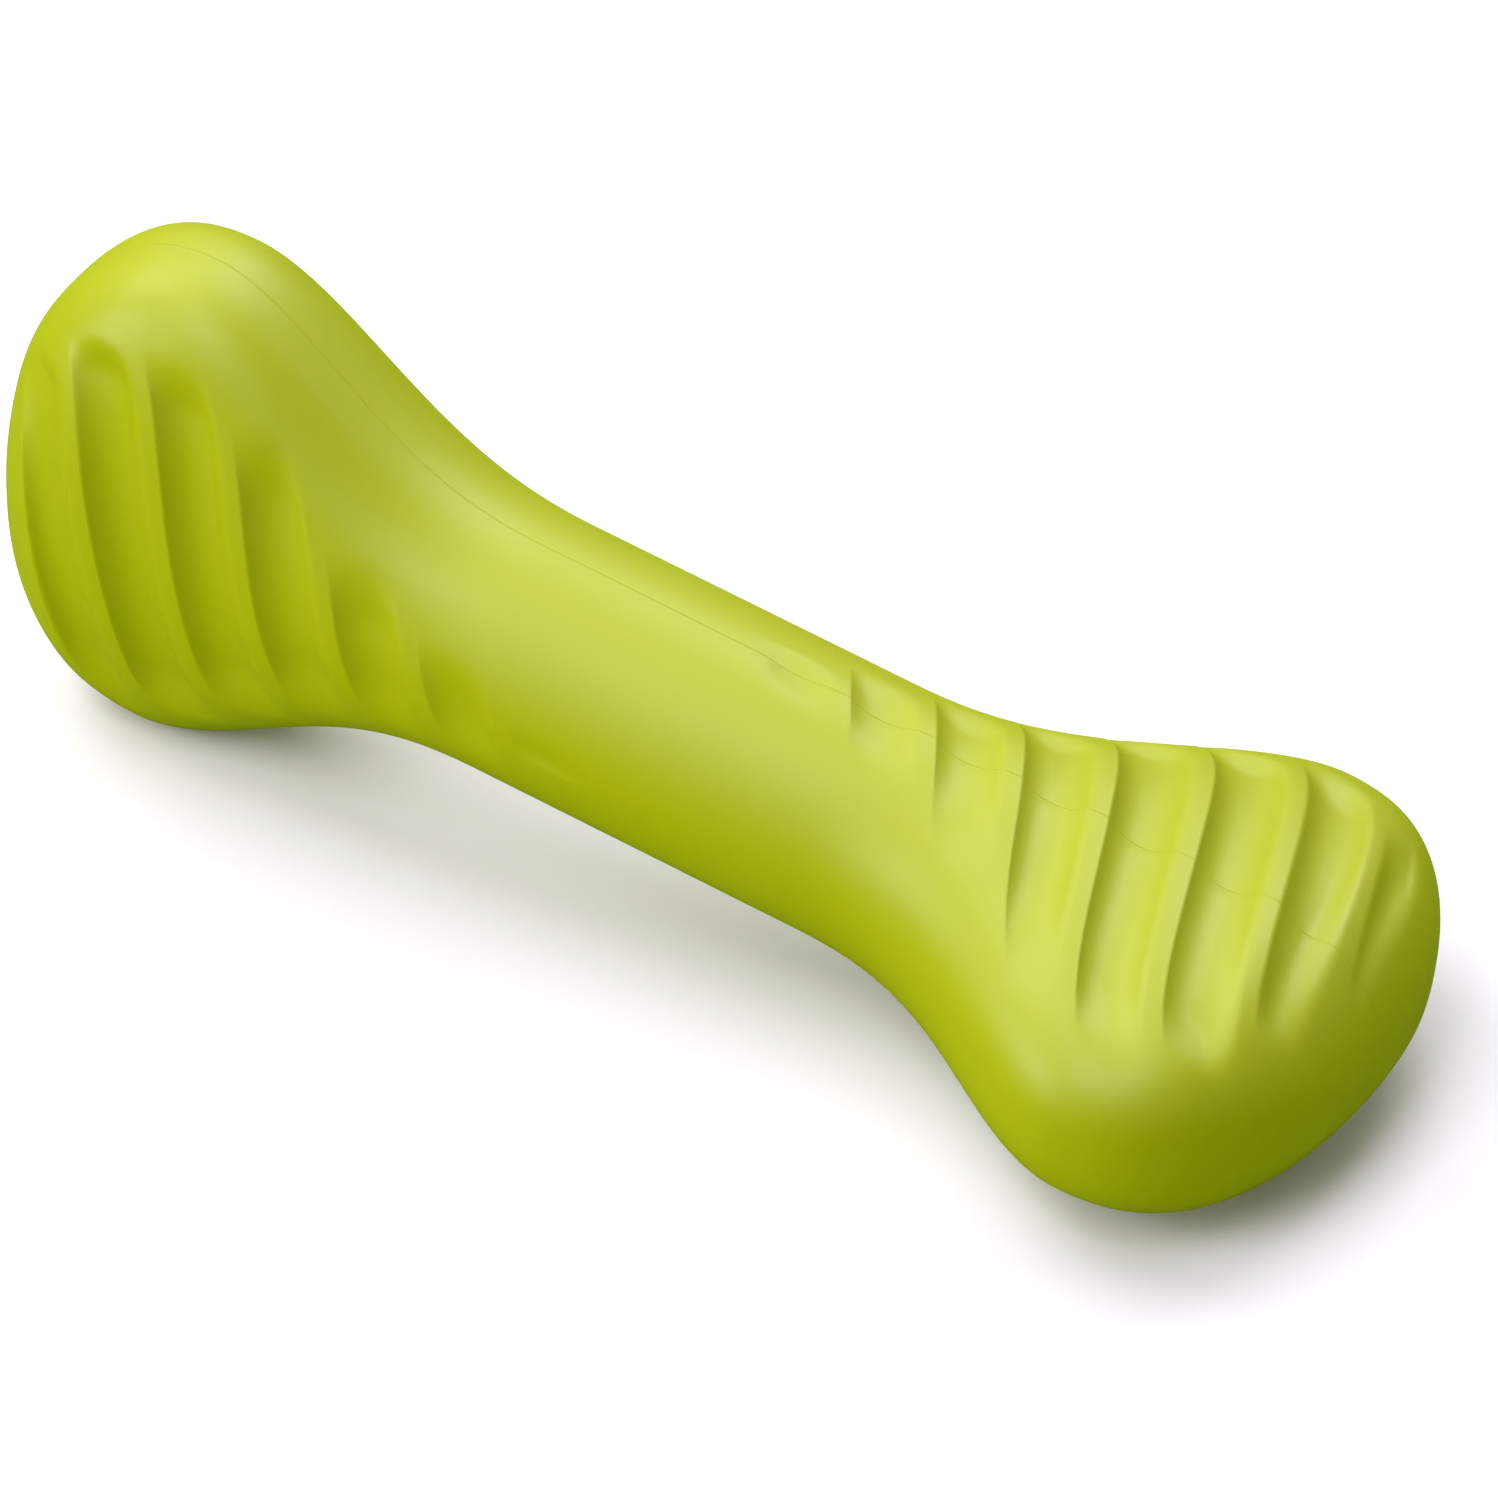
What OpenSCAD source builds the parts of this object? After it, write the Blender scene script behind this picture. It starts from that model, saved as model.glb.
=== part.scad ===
// Rubber chew bone, moulded in one solid piece.
// A round shaft joins two equal fan ends, turned a quarter turn to each other.
// Every broad face of a fan carries a field of leaning scooped ridges.
// The bone lies as it rests on a table: on the rim of the upright fan and on the
// underside of the flat fan. +X runs along it, +Z is up, and the origin is on the
// table under the middle of its box.

/* [Bone] */
// Length from tip to tip
bone_len = 210; // [150:1:260]
// Diameter of the round shaft
shaft_d = 35.6; // [24:0.1:46]

/* [Fan ends] */
// Width of a fan at its widest place
fan_w = 77.6; // [56:0.1:96]
// Thickness of a fan over its ridge crests
fan_t = 38.4; // [26:0.1:52]
// Distance from the middle of the bone to where the fans start to widen
flare_from = 24.4; // [10:0.1:34]
// Distance from a tip back to the widest place of its fan
widest_in = 27.1; // [20:0.1:38]
// Distance from a tip back to where its thickness starts to close
closing_in = 21; // [15:0.1:30]

/* [Ridges] */
// Spacing of the ridge steps along the bone
ridge_pitch = 13; // [9:0.1:20]
// Depth of the scoops between the ridges
ridge_depth = 2.5; // [0.5:0.1:4]
// Place of one ridge step along the bone, measured from the middle
ridge_place = 8.8; // [0:0.1:13]
// Run along the bone of a step that crosses the whole upright fan
upright_run = 22.2; // [0:0.1:30]
// Run along the bone of a step that crosses the whole flat fan
flat_run = 27.9; // [0:0.1:34]
// Further run of a step where it curls towards the rim
ridge_curl = 9; // [0:0.1:12]
// How far the steps draw together towards a tip
ridge_crowd = 3.2; // [0:0.1:6]
// Distance from the middle of the bone to where a ridge field starts
field_from = 10; // [6:0.5:24]
// Distance from the middle of the bone to where the trailing ends of the scoops are furthest out
trail_full = 58; // [46:0.5:80]
// Distance from the middle of the bone to where the leading ends of the scoops are furthest out
lead_full = 74; // [46:0.5:80]
// Length over which a scoop fades at its trailing end
trail_fade = 7; // [2:0.5:14]
// Length over which a scoop fades at its leading end
lead_fade = 12; // [4:0.5:18]

/* [Resting] */
// Depth of the flats that the bone rests on
rest_flat = 0.5; // [0.1:0.1:1]

/* [Hidden] */

half_len = bone_len / 2;
shaft_r = shaft_d / 2;
// The thickness and the ridges reach their full size at this share of the flare
grown_share = 0.75;
widest_at = half_len - widest_in;
closing_at = half_len - closing_in;
grown_at = flare_from + (widest_at - flare_from) * grown_share;

// The outline widens along an S curve and closes as a rounded tip
flare_skew = 1.33;
outline_squareness = 2.12;
outline_roundness = 1.94;
// The thickness grows a little from the shaft to the fan and closes faster
thick_squareness = 2.34;
thick_roundness = 1.63;
// A section is round on the shaft and a soft lens with full rims on the fans
round_power = 2;
face_power = 1.88;
rim_power = 2.86;

// One ridge, as shares of the pitch: a wall that flattens, the middle of the scoop, and
// the start of the uncut land
wall_share = 0.4;
wall_power = 2.6;
middle_share = 0.45;
land_share = 0.77;
// A step runs less where the fan is narrow, and curls more towards the rim
run_power = 0.4;
curl_power = 5;
crowd_power = 2;
// The field as a share of the half width
field_share = 0.885;
// The scoops run out over the tip between these shares of the half length
runout_shares = [0.88, 0.985];
// Rows of the skin lean with the ridges inside these shares of the half length, and as
// far out as this share of the field
lean_shares = [0.05, 0.22, 0.82, 1];
lean_side_share = 0.85;
// The lean turns over at the rims, within this share of the section
turn_share = 0.6;

// Rows of points at these shares of each pitch, and points in each row
row_shares = [0, 0.07, 0.17, 0.33, 0.5, 0.66, 0.77];
row_points = 52;
// Rows that close a tip, the last of them short of the tip by a share of a row
tip_rows = 15;
tip_gap_share = 0.7;
// Plain rows on the shaft, as shares of the distance to the ridge fields
shaft_shares = [-0.67, 0, 0.67];
settle_rounds = 3;
lean_rounds = 6;
tiny = 0.000001;

function unit(t) = min(max(t, 0), 1);
function ease(t) = let (c = unit(t)) c * c * (3 - 2 * c);
function along(a, from, to) = (a - from) / (to - from);
function curve(v, p) = sign(v) * pow(abs(v), p);

// Half width and half thickness of a fan at distance a from the middle
function closing(a, from, squareness, roundness) =
    pow(max(0, 1 - pow(unit(along(a, from, half_len)), squareness)), 1 / roundness);
function half_width(a) =
    let (flare = ease(pow(unit(along(a, flare_from, widest_at)), flare_skew)))
    (shaft_r + (fan_w / 2 - shaft_r) * flare)
        * closing(a, widest_at, outline_squareness, outline_roundness);
function half_thick(a) =
    let (growth = ease(along(a, flare_from, grown_at)))
    (shaft_r + (fan_t / 2 - shaft_r) * growth)
        * closing(a, closing_at, thick_squareness, thick_roundness);

// Unit section: [across, through] for the direction [cw, ct]
function section(a, cw, ct) =
    let (fan = ease(along(a, flare_from, widest_at)))
    let (face = round_power + (face_power - round_power) * fan)
    let (rim = round_power + (rim_power - round_power) * fan)
    [curve(cw, 2 / face), curve(ct, 2 / rim)];

// How far a step has run along the bone at x and u half widths from the face's middle line
function run_at(x, u) =
    let (run = x < 0 ? upright_run : flat_run)
    run / 2 * pow(half_width(abs(x)) / (fan_w / 2), run_power) * u
        + ridge_curl * curve(u, curl_power);

// Depth of one ridge at share p of its pitch: a wall, a scoop and a land
function ridge(p) =
    let (scoop = unit(along(p, wall_share, land_share)))
    p < wall_share ? 1 - pow(1 - p / wall_share, wall_power) : 1 - scoop * scoop;

// How far out the field reaches at distance a, as a share of the half width; the share
// is whole at the distance full
function field_side(a, full) = field_share * sqrt(unit(along(a, field_from, full)));

// How much of a ridge shows at distance a and off from the face's middle line, for a
// scoop with its middle at distance mid
function field(a, mid, off) =
    let (share = field_side(mid, off < 0 ? trail_full : lead_full))
    let (side = share * min(half_width(mid), half_width(max(a, mid))))
    let (fade = min(off < 0 ? trail_fade : lead_fade, side + tiny))
    let (inside = 1 - ease((abs(off) - side) / fade + 1))
    let (growth = sqrt(unit(along(mid, field_from, grown_at))))
    let (runout = 1 - ease(along(a, runout_shares[0] * half_len, runout_shares[1] * half_len)))
    inside * growth * runout;

// Place along the bone of a point of row x0: the row leans with the ridges
function leaned(x, x0, cw, ct, lean, rounds) =
    let (side = lean_side_share * field_side(abs(x), trail_full))
    let (u = min(max(section(abs(x), cw, ct)[0], -side), side))
    let (next = min(max(x0 + lean * run_at(x, u), -half_len), half_len))
    rounds == 0 ? x : leaned(next, x0, cw, ct, lean, rounds - 1);

// Point of the skin in row x0 at angle f. The right fan is wide along Y, and the left
// fan is the same shape a quarter turn on about the bone's axis.
function skin(x0, f) =
    let (right = x0 >= 0)
    let (cw = right ? -cos(f) : -sin(f))
    let (ct = right ? sin(f) : -cos(f))
    let (a0 = abs(x0) / half_len)
    let (taper = ease(along(a0, lean_shares[0], lean_shares[1])))
    let (tip = 1 - ease(along(a0, lean_shares[2], lean_shares[3])))
    let (lean = taper * tip * sign(ct) * ease(abs(ct) / turn_share))
    let (x = leaned(x0, x0, cw, ct, lean, lean_rounds))
    let (a = abs(x))
    let (uv = section(a, cw, ct))
    let (crowd = sign(x) * ridge_crowd * pow(unit(along(a, closing_at, half_len)), crowd_power))
    let (place = (x + crowd - ridge_place - sign(ct) * run_at(x, uv[0])) / ridge_pitch)
    let (share = place - floor(place))
    let (mid = abs(x - (share - middle_share) * ridge_pitch))
    let (shown = field(a, mid, sign(ct) * half_width(a) * uv[0]))
    let (cut = ridge_depth * shown * ridge(share) * sqrt(abs(uv[1])))
    let (w = half_width(a) * uv[0])
    let (t = half_thick(a) * uv[1] - sign(ct) * cut)
    [x, right ? -w : -t, right ? t : -w];

// Rows from the left tip to the right tip, leaving out the two tip points
field_end = half_len * lean_shares[2];
ridge_count = ceil(half_len / ridge_pitch) + 1;
ridge_rows = [
    for (n = [-ridge_count : ridge_count])
        for (s = row_shares)
            let (x = ridge_place + (n + s) * ridge_pitch)
                if (abs(x) > field_from && abs(x) < field_end) x
];
shaft_rows = [for (s = shaft_shares) s * field_from];
end_rows = [
    for (n = [0 : tip_rows - 1])
        field_end + (half_len - field_end) * sin(90 * (n + 1 - tip_gap_share) / tip_rows)
];
left_rows = [for (x = ridge_rows) if (x < 0) x];
right_rows = [for (x = ridge_rows) if (x > 0) x];
rows = concat([for (n = [tip_rows - 1 : -1 : 0]) -end_rows[n]], left_rows, shaft_rows,
    right_rows, end_rows);
row_count = len(rows);

raw_points = concat(
    [for (x = rows) for (n = [0 : row_points - 1]) skin(x, 360 * n / row_points)],
    [[-half_len, 0, 0], [half_len, 0, 0]]
);

// Setting down: the tilt at which the lowest points of both ends touch the table
function height(p, tilt) = p[2] * cos(tilt) - p[0] * sin(tilt);
function lowest(points, tilt) =
    let (heights = [for (p = points) height(p, tilt)])
    points[search(min(heights), heights)[0]];
left_points = [for (p = raw_points) if (p[0] < 0) p];
right_points = [for (p = raw_points) if (p[0] > 0) p];
function settled(tilt, rounds) =
    let (a = lowest(left_points, tilt))
    let (b = lowest(right_points, tilt))
    rounds == 0 ? tilt : settled(atan2(b[2] - a[2], b[0] - a[0]), rounds - 1);
rest_tilt = settled(0, settle_rounds);

// The points as the bone rests, with its two flats
table = height(lowest(raw_points, rest_tilt), rest_tilt) + rest_flat;
tilted = [
    for (p = raw_points)
        [p[0] * cos(rest_tilt) + p[2] * sin(rest_tilt), p[1], max(height(p, rest_tilt), table)]
];
xs = [for (p = tilted) p[0]];
centre_x = (min(xs) + max(xs)) / 2;
bone_points = [for (p = tilted) p - [centre_x, 0, table]];

function corner(row, n) = row * row_points + n % row_points;
left_tip = row_count * row_points;
right_tip = left_tip + 1;
side_faces = [
    for (row = [0 : row_count - 2])
        for (n = [0 : row_points - 1])
            for (face = [
                [corner(row, n), corner(row + 1, n + 1), corner(row, n + 1)],
                [corner(row, n), corner(row + 1, n), corner(row + 1, n + 1)]
            ]) face
];
tip_faces = [
    for (n = [0 : row_points - 1])
        for (face = [
            [left_tip, corner(0, n), corner(0, n + 1)],
            [right_tip, corner(row_count - 1, n + 1), corner(row_count - 1, n)]
        ]) face
];

module bone_body() {
    color("#acb822")
        polyhedron(points = bone_points, faces = concat(side_faces, tip_faces), convexity = 6);
}

bone_body();
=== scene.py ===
import math
import bpy
import numpy as np
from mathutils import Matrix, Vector


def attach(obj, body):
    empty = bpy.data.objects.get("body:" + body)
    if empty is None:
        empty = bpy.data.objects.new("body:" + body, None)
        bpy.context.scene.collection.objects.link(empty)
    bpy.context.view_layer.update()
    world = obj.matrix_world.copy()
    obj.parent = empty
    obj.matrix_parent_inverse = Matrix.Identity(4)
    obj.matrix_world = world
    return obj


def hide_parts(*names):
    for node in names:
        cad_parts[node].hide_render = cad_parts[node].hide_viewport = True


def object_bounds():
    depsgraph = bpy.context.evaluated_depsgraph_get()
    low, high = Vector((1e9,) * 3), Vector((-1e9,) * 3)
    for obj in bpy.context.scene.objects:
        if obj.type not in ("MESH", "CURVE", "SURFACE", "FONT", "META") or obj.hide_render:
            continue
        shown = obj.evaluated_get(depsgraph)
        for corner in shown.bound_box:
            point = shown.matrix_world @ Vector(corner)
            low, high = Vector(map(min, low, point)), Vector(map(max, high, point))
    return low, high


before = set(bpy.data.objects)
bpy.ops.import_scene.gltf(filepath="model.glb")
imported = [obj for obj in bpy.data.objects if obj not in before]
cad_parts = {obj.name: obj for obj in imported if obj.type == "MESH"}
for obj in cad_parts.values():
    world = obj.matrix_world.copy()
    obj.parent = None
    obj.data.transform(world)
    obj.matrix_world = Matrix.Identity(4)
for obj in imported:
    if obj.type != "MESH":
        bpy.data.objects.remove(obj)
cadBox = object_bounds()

scene = bpy.context.scene
print("frame loaded:", sorted(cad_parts))

# the moulded bone, lengths in metres; its own axis is X, the right fan is wide
# along Y and the left fan is the same shape a quarter turn on
bone = dict(
    length=.210, shaft=.0356,                              # tip to tip, and the round shaft's diameter
    fanWidth=.0776, fanThick=.0384,                        # a fan over its rims and over its ridge crests
    flareFrom=.0244, grownShare=.75,                       # from the middle, and where it is fully thick
    widestIn=.0271, closingIn=.021,                        # from a tip: widest place, start of thinning
    flareSkew=1.33, outline=(2.12, 1.94), thick=(2.34, 1.63),   # powers of the flare and rounded ends
    facePower=1.88, rimPower=2.86,                         # a fan's section, where 2 is round
    pitch=.013, depth=.0025, firstStep=.0088,              # ridges: spacing, depth, place of one step
    runs=(.0222, .0279), runPower=.4,                      # a step's run across the left and right fan
    curl=.009, crowd=.0032,                                # further lean at the rim, closer at the tip
    wallShare=.40, wallPower=2.6, landShare=.77, landSoft=.22, midShare=.45,   # one ridge, and its middle
    fieldFrom=.010,                                        # where the ridges start, from the middle
    fieldFulls=(.058, .074), fieldShares=(.83, .885), fades=(.007, .012),      # trailing and leading ends
    mismatch=.07,                                          # how much shallower one side of a fan is
    runOut=(.88, .985), riseFirst=.5,                      # end of the ridges by the tip, the rise first
    lean=(.05, .22, .82, 1.0), leanSide=.75, turnShare=.6, leanRounds=6,       # rows follow the steps
    restFlat=.0005, layRounds=6, tiny=1e-6,
    rowsInPitch=(0, .02, .045, .075, .105, .135, .16, .19, .24, .30, .37, .44, .51, .58,
                 .65, .71, .77, .81, .87, .93, .98),
    shaftRows=7, shaftShare=.8, columns=224, tipRows=88, firstTipRow=.3,
)


def unit(t):
    # t kept between 0 and 1
    return np.clip(t, 0, 1)


def smoothStep(t):
    # 3t^2 - 2t^3 between 0 and 1
    c = unit(t)
    return c * c * (3 - 2 * c)


def between(a, start, end):
    # share of the way from start to end
    return (a - start) / (end - start)


def signedPower(v, p):
    # power of the size of v, with v's sign
    return np.sign(v) * np.abs(v) ** p


def closingShare(a, start, powers):
    # rounded end: (1 - q^m)^(1/n), q running from 0 at the start to 1 at the tip
    q = unit(between(a, start, bone["length"] / 2))
    return np.maximum(0, 1 - q ** powers[0]) ** (1 / powers[1])


def halfWidth(a):
    # shaft radius, widened along a skewed smooth step, times the rounded end
    r, widest = bone["shaft"] / 2, bone["length"] / 2 - bone["widestIn"]
    flare = smoothStep(unit(between(a, bone["flareFrom"], widest)) ** bone["flareSkew"])
    return (r + (bone["fanWidth"] / 2 - r) * flare) * closingShare(a, widest, bone["outline"])


def grownAt():
    # where the thickness and the ridges are full, as a share of the flare
    widest = bone["length"] / 2 - bone["widestIn"]
    return bone["flareFrom"] + (widest - bone["flareFrom"]) * bone["grownShare"]


def halfThick(a):
    # shaft radius, thickened a little along a smooth step, times a faster rounded end
    r = bone["shaft"] / 2
    growth = smoothStep(between(a, bone["flareFrom"], grownAt()))
    closing = closingShare(a, bone["length"] / 2 - bone["closingIn"], bone["thick"])
    return (r + (bone["fanThick"] / 2 - r) * growth) * closing


def unitSection(a, cw, ct):
    # a circle whose two powers change along the flare, so the fan's faces are softly
    # crowned and its rims are full
    fan = smoothStep(between(a, bone["flareFrom"], bone["length"] / 2 - bone["widestIn"]))
    face = 2 + (bone["facePower"] - 2) * fan
    rim = 2 + (bone["rimPower"] - 2) * fan
    return signedPower(cw, 2 / face), signedPower(ct, 2 / rim)


def stepRun(x, u):
    # how far a step has run along the bone at u half widths off the middle line: half the
    # fan's run times a power of the width, and a curl that grows as u to the fifth
    wide = halfWidth(np.abs(x)) / (bone["fanWidth"] / 2)
    return np.where(x < 0, *bone["runs"]) / 2 * wide ** bone["runPower"] * u + bone["curl"] * u ** 5


def ridgeDepth(p):
    # a wall that flattens as 1 - (1 - p / wall)^k, then a parabola h back up to the land,
    # which isn't cut; (h + sqrt(h^2 + s^2)) / 2 rounds the place where they meet
    wall, soft = bone["wallShare"], bone["landSoft"]
    down = 1 - (1 - unit(p / wall)) ** bone["wallPower"]
    h = 1 - between(np.maximum(p, wall), wall, bone["landShare"]) ** 2
    return np.where(p < wall, down, (h + np.sqrt(h * h + soft * soft)) / (1 + math.sqrt(1 + soft * soft)))


def fieldSide(a, full):
    # how far out the field has grown, a square root from where it starts
    return np.sqrt(unit(between(a, bone["fieldFrom"], full)))


def fieldStrength(a, middle, across, p):
    # full inside the field, fading at its sides and growing from the shaft by the place of
    # the scoop's middle, so that each scoop has its own ends: a short one where its step
    # trails and a long one where it leads; drawn in and run out at the tip, the rise first
    half = bone["length"] / 2
    side = fieldSide(middle, np.where(across < 0, *bone["fieldFulls"]))
    side = side * np.where(across < 0, *bone["fieldShares"])
    side = side * np.minimum(halfWidth(middle), halfWidth(np.maximum(a, middle)))
    fade = np.minimum(np.where(across < 0, *bone["fades"]), side + bone["tiny"])
    inside = 1 - smoothStep((np.abs(across) - side) / fade + 1)
    growth = np.sqrt(unit(between(middle, bone["fieldFrom"], grownAt())))
    outer = a + bone["riseFirst"] * p * bone["pitch"]
    out = 1 - smoothStep(between(outer, bone["runOut"][0] * half, bone["runOut"][1] * half))
    return inside * growth * out


def boneSkin(x0, f):
    # point of the row x0 at the angle f; the row leans with the ridges as far as their
    # field goes, found by putting x back into x0 + lean * run(x) a few times
    half = bone["length"] / 2
    right = x0 >= 0
    cw = np.where(right, -np.cos(f), -np.sin(f))
    ct = np.where(right, np.sin(f), -np.cos(f))
    a0 = np.abs(x0) / half
    taper = smoothStep(between(a0, *bone["lean"][:2])) * (1 - smoothStep(between(a0, *bone["lean"][2:])))
    lean = taper * np.sign(ct) * smoothStep(np.abs(ct) / bone["turnShare"])
    x = np.broadcast_to(x0, lean.shape)
    for turn in range(bone["leanRounds"]):
        a = np.abs(x)
        side = bone["leanSide"] * fieldSide(a, bone["fieldFulls"][0])
        u = np.clip(unitSection(a, cw, ct)[0], -side, side)
        x = np.clip(x0 + lean * stepRun(x, u), -half, half)
    a = np.abs(x)
    u, v = unitSection(a, cw, ct)
    crowded = np.sign(x) * bone["crowd"] * unit(between(a, half - bone["closingIn"], half)) ** 2
    place = (x + crowded - bone["firstStep"] - np.sign(ct) * stepRun(x, u)) / bone["pitch"]
    middle = np.abs(x - (place % 1 - bone["midShare"]) * bone["pitch"])
    strength = fieldStrength(a, middle, np.sign(ct) * halfWidth(a) * u, place % 1)
    cut = bone["depth"] * strength * ridgeDepth(place % 1) * np.sqrt(np.abs(v))
    cut = cut * (1 - bone["mismatch"] * (right & (u > 0)))   # the mould's halves differ a little
    w = halfWidth(a) * u
    t = halfThick(a) * v - np.sign(ct) * cut
    return np.stack([x, np.where(right, -w, -t), np.where(right, t, -w)], -1)


def rowPlaces():
    # rows at set shares of every ridge, and sine spaced rows that close the tips
    half = bone["length"] / 2
    count = math.ceil(half / bone["pitch"]) + 1
    n = np.arange(-count, count + 1)[:, None]
    x = (bone["firstStep"] + (n + np.array(bone["rowsInPitch"])) * bone["pitch"]).ravel()
    end = half * bone["lean"][2]
    x = x[(np.abs(x) > bone["fieldFrom"]) & (np.abs(x) < end)]
    shaft = np.linspace(-1, 1, bone["shaftRows"]) * bone["shaftShare"] * bone["fieldFrom"]
    steps = (np.arange(bone["tipRows"]) + bone["firstTipRow"]) / bone["tipRows"]
    tip = end + (half - end) * np.sin(np.pi / 2 * steps)
    return np.concatenate([-tip[::-1], x[x < 0], shaft, x[x > 0], tip])


def layDown(points, flat):
    # turns the bone about Y until the lowest points of both ends are level, then
    # presses its lowest points flat and puts the box's middle over the origin
    left, right = points[points[:, 0] < 0], points[points[:, 0] > 0]
    tilt = 0.0
    for turn in range(bone["layRounds"]):
        low = [p[np.argmin(p[:, 2] * math.cos(tilt) - p[:, 0] * math.sin(tilt))] for p in (left, right)]
        tilt = math.atan2(low[1][2] - low[0][2], low[1][0] - low[0][0])
    c, s = math.cos(tilt), math.sin(tilt)
    x, z = points[:, 0] * c + points[:, 2] * s, points[:, 2] * c - points[:, 0] * s
    table = z.min() + flat
    middle = (x.min() + x.max()) / 2
    return np.stack([x - middle, points[:, 1], np.maximum(z, table) - table], -1), math.degrees(tilt)


def closedSkin(name, grid, tips, fit=None):
    # quads between the rows of a grid that is closed around, and a fan of triangles at each tip
    rows, columns = grid.shape[:2]
    points = np.concatenate([grid.reshape(-1, 3), tips])
    points = fit(points) if fit else points
    n, nextN = np.arange(columns), (np.arange(columns) + 1) % columns
    r = np.arange(rows - 1)[:, None] * columns
    quads = np.stack([r + n, r + nextN, r + columns + nextN, r + columns + n], -1).reshape(-1, 4)
    last = (rows - 1) * columns
    first = np.stack([np.full(columns, rows * columns), nextN, n], -1)
    end = np.stack([np.full(columns, rows * columns + 1), last + n, last + nextN], -1)
    corners = np.concatenate([quads.ravel(), first.ravel(), end.ravel()])
    sizes = np.concatenate([np.full(len(quads), 4), np.full(2 * columns, 3)])
    mesh = bpy.data.meshes.new(name)
    mesh.vertices.add(len(points))
    mesh.vertices.foreach_set("co", points.astype(np.float32).ravel())
    mesh.loops.add(len(corners))
    mesh.loops.foreach_set("vertex_index", corners.astype(np.int32))
    mesh.polygons.add(len(sizes))
    mesh.polygons.foreach_set("loop_start", np.concatenate([[0], np.cumsum(sizes)[:-1]]).astype(np.int32))
    mesh.update(calc_edges=True)
    mesh.validate()
    mesh.shade_smooth()
    piece = bpy.data.objects.new(name, mesh)
    scene.collection.objects.link(piece)
    return piece


def settledBone(points):
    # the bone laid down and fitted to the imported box, which changes it by less than .03 %
    laid, tilt = layDown(points, bone["restFlat"])
    print("bone lies at %.2f degrees" % tilt)
    low, high = laid.min(0), laid.max(0)
    size = np.array(cadBox[1]) - np.array(cadBox[0])
    return (laid - low) * (size / (high - low)) + np.array(cadBox[0])


angles = 2 * np.pi * np.arange(bone["columns"]) / bone["columns"]
grid = boneSkin(rowPlaces()[:, None], angles[None, :])
half = bone["length"] / 2
boneBody = closedSkin("bone_skin", grid, np.array([[-half, 0, 0], [half, 0, 0]]), settledBone)
print("bone skin:", len(boneBody.data.polygons), "faces")


# lime green rubber with a fine moulded grain and the line where the mould halves meet
rubber = dict(
    colour=(.343, .388, .0), deep=(.309, .350, .0), specular=.5,
    cloud=38.0, cloudFrom=.35, cloudTo=.85, cloudMost=.35,                # the deep colour's patches
    roughness=(.39, .51), wear=90.0,                                      # least and most, and its patches
    grain=1400.0, grainHeight=.00002, grainStrength=.35,
    seamHalf=.00022, seamHeight=.0001, seamStrength=.5,
)


def node(tree, kind, place, **values):
    # values set the node's own settings or else its sockets
    made = tree.nodes.new(kind)
    made.location = place
    for key, value in values.items():
        if hasattr(made, key):
            setattr(made, key, value)
        else:
            made.inputs[key].default_value = value
    return made


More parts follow.
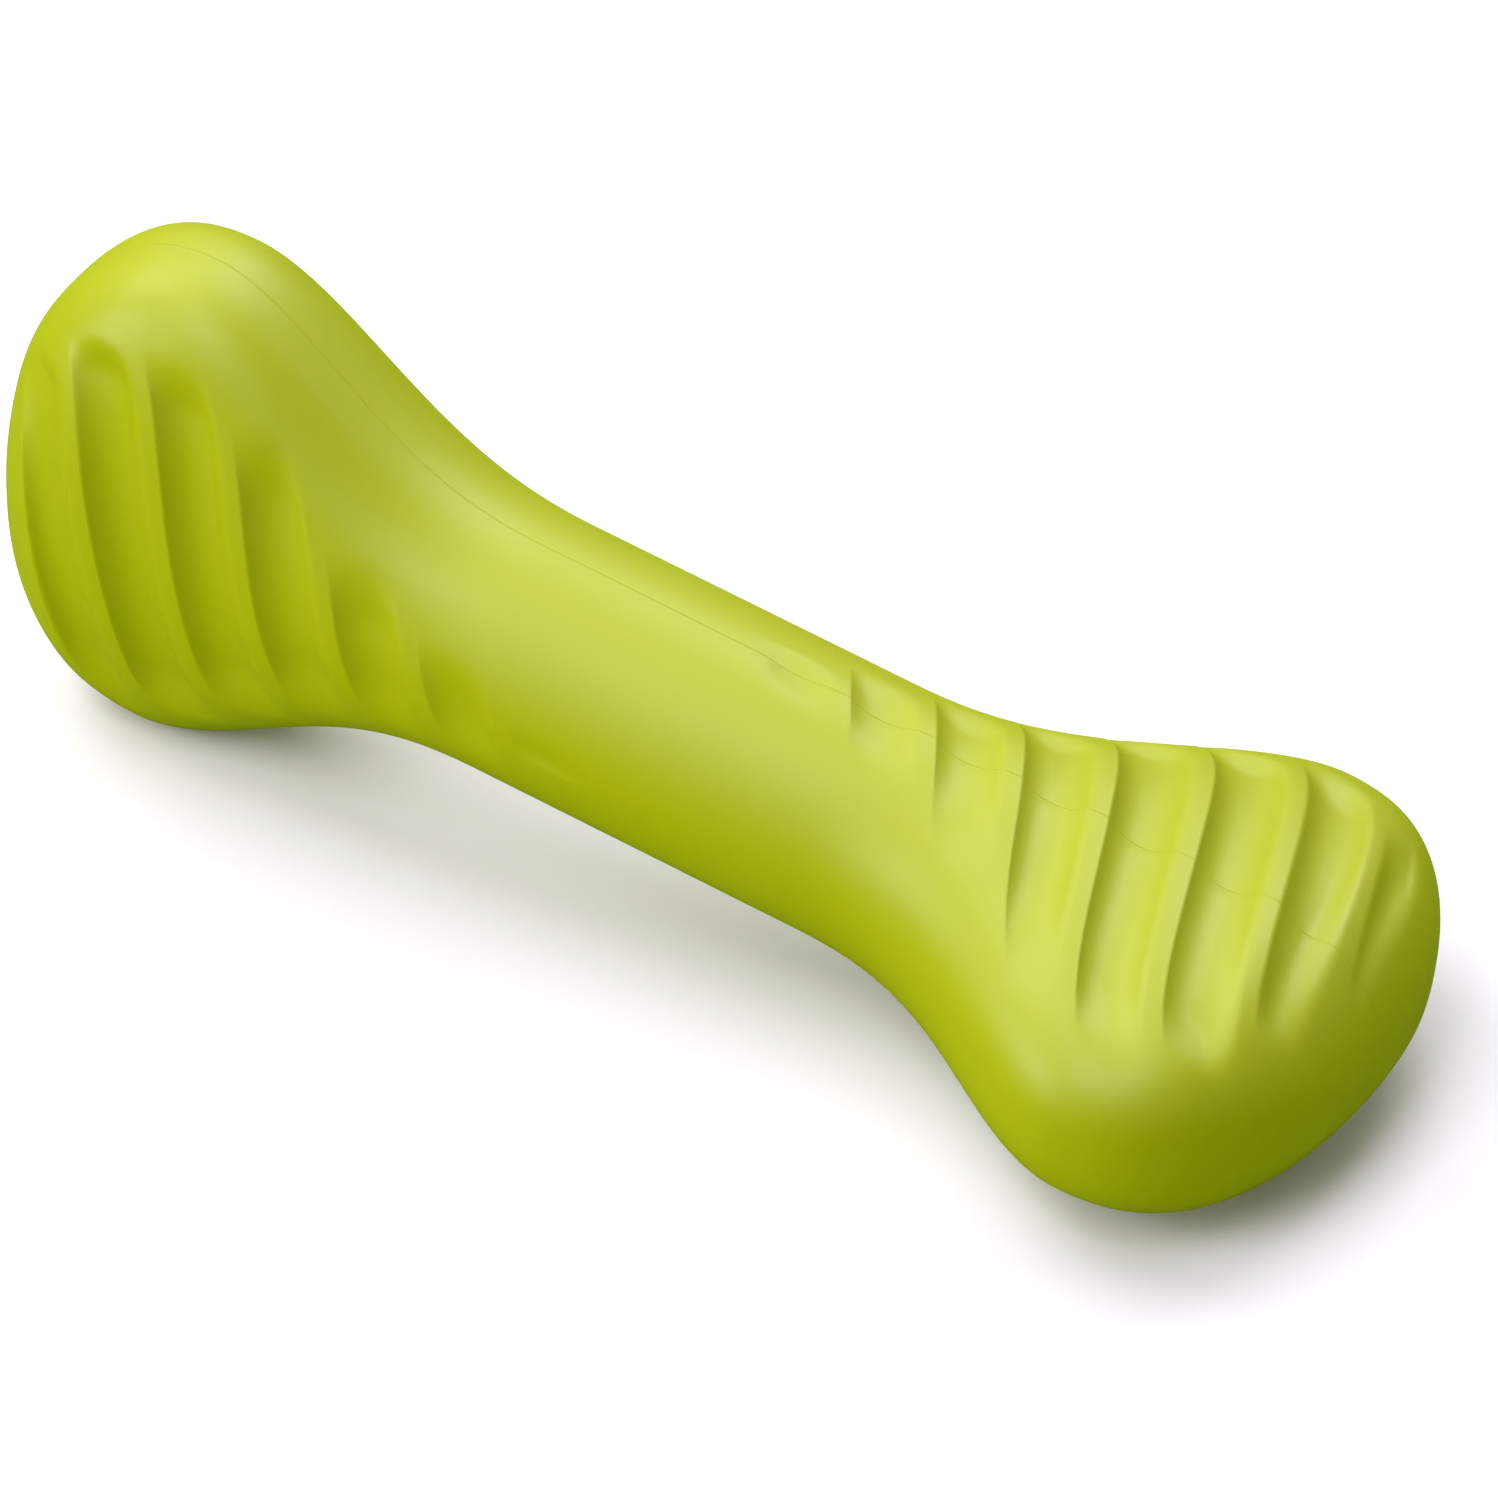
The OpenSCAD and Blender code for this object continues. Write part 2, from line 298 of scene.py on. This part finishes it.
def rubberMaterial():
    material = bpy.data.materials.new("limeRubber")
    material.use_nodes = True
    tree = material.node_tree
    tree.nodes.clear()
    out = node(tree, "ShaderNodeOutputMaterial", (900, 0))
    shader = node(tree, "ShaderNodeBsdfPrincipled", (600, 0))
    shader.inputs["Specular IOR Level"].default_value = rubber["specular"]
    tree.links.new(shader.outputs["BSDF"], out.inputs["Surface"])
    place = node(tree, "ShaderNodeTexCoord", (-900, 0))

    # colour: a faint cloudiness of the pigment
    cloud = node(tree, "ShaderNodeTexNoise", (-600, 260), Scale=rubber["cloud"], Detail=3.0, Roughness=.5)
    tree.links.new(place.outputs["Object"], cloud.inputs["Vector"])
    blend = node(tree, "ShaderNodeMix", (-100, 260), data_type="RGBA")
    blend.inputs["A"].default_value = (*rubber["colour"], 1)
    blend.inputs["B"].default_value = (*rubber["deep"], 1)
    shade = node(tree, "ShaderNodeMapRange", (-350, 260))
    shade.inputs["From Min"].default_value = rubber["cloudFrom"]
    shade.inputs["From Max"].default_value = rubber["cloudTo"]
    shade.inputs["To Max"].default_value = rubber["cloudMost"]
    tree.links.new(cloud.outputs["Fac"], shade.inputs["Value"])
    tree.links.new(shade.outputs["Result"], blend.inputs["Factor"])
    tree.links.new(blend.outputs["Result"], shader.inputs["Base Color"])

    # gloss: handled rubber is a little uneven
    wear = node(tree, "ShaderNodeTexNoise", (-600, 0), Scale=rubber["wear"], Detail=4.0, Roughness=.6)
    tree.links.new(place.outputs["Object"], wear.inputs["Vector"])
    gloss = node(tree, "ShaderNodeMapRange", (-350, 0))
    gloss.inputs["To Min"].default_value = rubber["roughness"][0]
    gloss.inputs["To Max"].default_value = rubber["roughness"][1]
    tree.links.new(wear.outputs["Fac"], gloss.inputs["Value"])
    tree.links.new(gloss.outputs["Result"], shader.inputs["Roughness"])

    # height: the fine grain of the mould, and a thin line where y is nought
    grain = node(tree, "ShaderNodeTexNoise", (-600, -260), Scale=rubber["grain"], Detail=2.0)
    tree.links.new(place.outputs["Object"], grain.inputs["Vector"])
    grainBump = node(tree, "ShaderNodeBump", (100, -260), Strength=rubber["grainStrength"],
                     Distance=rubber["grainHeight"])
    tree.links.new(grain.outputs["Fac"], grainBump.inputs["Height"])
    apart = node(tree, "ShaderNodeSeparateXYZ", (-600, -520))
    tree.links.new(place.outputs["Object"], apart.inputs["Vector"])
    off = node(tree, "ShaderNodeMath", (-400, -520), operation="ABSOLUTE")
    tree.links.new(apart.outputs["Y"], off.inputs[0])
    line = node(tree, "ShaderNodeMapRange", (-200, -520), interpolation_type="SMOOTHSTEP")
    line.inputs["From Max"].default_value = rubber["seamHalf"]
    line.inputs["To Min"].default_value = 1
    line.inputs["To Max"].default_value = 0
    tree.links.new(off.outputs["Value"], line.inputs["Value"])
    seamBump = node(tree, "ShaderNodeBump", (350, -260), Strength=rubber["seamStrength"],
                    Distance=rubber["seamHeight"])
    tree.links.new(line.outputs["Result"], seamBump.inputs["Height"])
    tree.links.new(grainBump.outputs["Normal"], seamBump.inputs["Normal"])
    tree.links.new(seamBump.outputs["Normal"], shader.inputs["Normal"])
    return material


boneBody.data.materials.append(rubberMaterial())
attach(boneBody, "root")
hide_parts("bone_body")
print("rubber on the bone")


# pale table that keeps the bone's shadow and shows white to the camera; a glow seen by the camera alone is
# painted light: it lightens the shadow a little by the bone and turns the table white further off
table = dict(
    reach=6.0, drop=.0001,
    colour=(.87, .84, .935), inBounce=(.65, .72, .0), inGloss=(.20, .26, .03),   # to camera, matte and gloss
    shadowLift=(.07, .07, .05), whiteFrom=.24, whiteAt=.50,                            # painted light: a glow to the camera alone, lightening the shadow by the bone
)


def tableMaterial():
    material = bpy.data.materials.new("paleTable")
    material.use_nodes = True
    tree = material.node_tree
    tree.nodes.clear()
    out = node(tree, "ShaderNodeOutputMaterial", (600, 0))
    both = node(tree, "ShaderNodeAddShader", (400, 0))
    matte = node(tree, "ShaderNodeBsdfDiffuse", (150, 100))
    bounce = node(tree, "ShaderNodeMix", (-260, 200), data_type="RGBA")   # as matte surfaces see it
    bounce.inputs["A"].default_value = (*table["colour"], 1)
    bounce.inputs["B"].default_value = (*table["inBounce"], 1)
    tone = node(tree, "ShaderNodeMix", (-60, 200), data_type="RGBA")      # and as glossy ones do
    tone.inputs["B"].default_value = (*table["inGloss"], 1)
    glow = node(tree, "ShaderNodeEmission", (150, -100))
    place = node(tree, "ShaderNodeTexCoord", (-900, -300))
    radius = node(tree, "ShaderNodeVectorMath", (-700, -300), operation="LENGTH")
    tree.links.new(place.outputs["Object"], radius.inputs[0])
    away = node(tree, "ShaderNodeMapRange", (-500, -300), interpolation_type="SMOOTHSTEP")
    away.inputs["From Min"].default_value = table["whiteFrom"]
    away.inputs["From Max"].default_value = table["whiteAt"]
    tree.links.new(radius.outputs["Value"], away.inputs["Value"])
    fade = node(tree, "ShaderNodeMix", (-60, -300), data_type="RGBA")   # painted light, whiter away from the bone
    fade.inputs["A"].default_value = (*table["shadowLift"], 1)
    fade.inputs["B"].default_value = (1, 1, 1, 1)
    tree.links.new(away.outputs["Result"], fade.inputs["Factor"])
    tree.links.new(fade.outputs["Result"], glow.inputs["Color"])
    seen = node(tree, "ShaderNodeLightPath", (-500, 0))
    tree.links.new(seen.outputs["Is Diffuse Ray"], bounce.inputs["Factor"])
    tree.links.new(seen.outputs["Is Glossy Ray"], tone.inputs["Factor"])
    tree.links.new(bounce.outputs["Result"], tone.inputs["A"])
    tree.links.new(tone.outputs["Result"], matte.inputs["Color"])
    tree.links.new(seen.outputs["Is Camera Ray"], glow.inputs["Strength"])
    tree.links.new(matte.outputs["BSDF"], both.inputs[0])
    tree.links.new(glow.outputs["Emission"], both.inputs[1])
    tree.links.new(both.outputs["Shader"], out.inputs["Surface"])
    return material


reach = table["reach"]
tableMesh = bpy.data.meshes.new("table")
tableMesh.from_pydata([(-reach, -reach, 0), (reach, -reach, 0), (reach, reach, 0), (-reach, reach, 0)],
                      [], [(0, 1, 2, 3)])
tableTop = bpy.data.objects.new("table", tableMesh)
tableTop.location.z = -table["drop"]
scene.collection.objects.link(tableTop)
tableMesh.materials.append(tableMaterial())
print("table laid")


# soft white studio light: square lamps, their side, their places in metres and powers in watts
softBox = dict(side=.7, aim=(0, 0, .03))
lamps = dict(
    top=dict(at=(0, 0, 1.25), power=3.2),
    left=dict(at=(-.77, 0, .98), power=6.8),
    leftFront=dict(at=(-.84, -.82, .43), power=7.1),
    leftBack=dict(at=(-.62, .63, .88), power=2.8),
    back=dict(at=(0, .73, 1.01), power=7.9),
    front=dict(at=(0, -.73, 1.01), power=7.6),
    rightBack=dict(at=(.63, .62, .88), power=1.4),
)


def facing(at, aim):
    # the turn that points a lamp or a camera from its place to its aim
    return (Vector(at) - Vector(aim)).to_track_quat("Z", "Y").to_euler()


def addLamp(name, at, power):
    light = bpy.data.lights.new(name, "AREA")
    light.shape = "SQUARE"
    light.size = softBox["side"]
    light.energy = power
    lamp = bpy.data.objects.new(name, light)
    lamp.location = at
    lamp.rotation_euler = facing(at, softBox["aim"])
    scene.collection.objects.link(lamp)


for name, lamp in lamps.items():
    addLamp(name, **lamp)


# white room: full to the camera, soft in gloss, dim on matte surfaces
walls = dict(inGloss=.5, inBounce=.01)

room = bpy.data.worlds.new("room")
scene.world = room
room.use_nodes = True
tree = room.node_tree
seen = node(tree, "ShaderNodeLightPath", (-800, 0))
fill = node(tree, "ShaderNodeMath", (-550, 0), operation="MULTIPLY_ADD")
fill.inputs[1].default_value = walls["inBounce"]
tree.links.new(seen.outputs["Is Diffuse Ray"], fill.inputs[0])
tree.links.new(seen.outputs["Is Camera Ray"], fill.inputs[2])
sheen = node(tree, "ShaderNodeMath", (-300, 0), operation="MULTIPLY_ADD")
sheen.inputs[1].default_value = walls["inGloss"]
tree.links.new(seen.outputs["Is Glossy Ray"], sheen.inputs[0])
tree.links.new(fill.outputs["Value"], sheen.inputs[2])
tree.nodes["Background"].inputs["Color"].default_value = (1, 1, 1, 1)
tree.links.new(sheen.outputs["Value"], tree.nodes["Background"].inputs["Strength"])
print("light set")


# the camera, level, far off and with a long lens
view = dict(at=(.86222, -1.40567, 1.39846), aim=(.00718, .00209, .02653), lens=392.9, sensor=36,
            clip=(.1, 50))
lens = bpy.data.cameras.new("studioCamera")
lens.lens = view["lens"]
lens.sensor_width = view["sensor"]
lens.clip_start, lens.clip_end = view["clip"]
cameraBody = bpy.data.objects.new("studioCamera", lens)
cameraBody.location = view["at"]
cameraBody.rotation_euler = facing(view["at"], view["aim"])
scene.collection.objects.link(cameraBody)
scene.camera = cameraBody
scene.view_settings.view_transform = "Standard"
print("camera set")
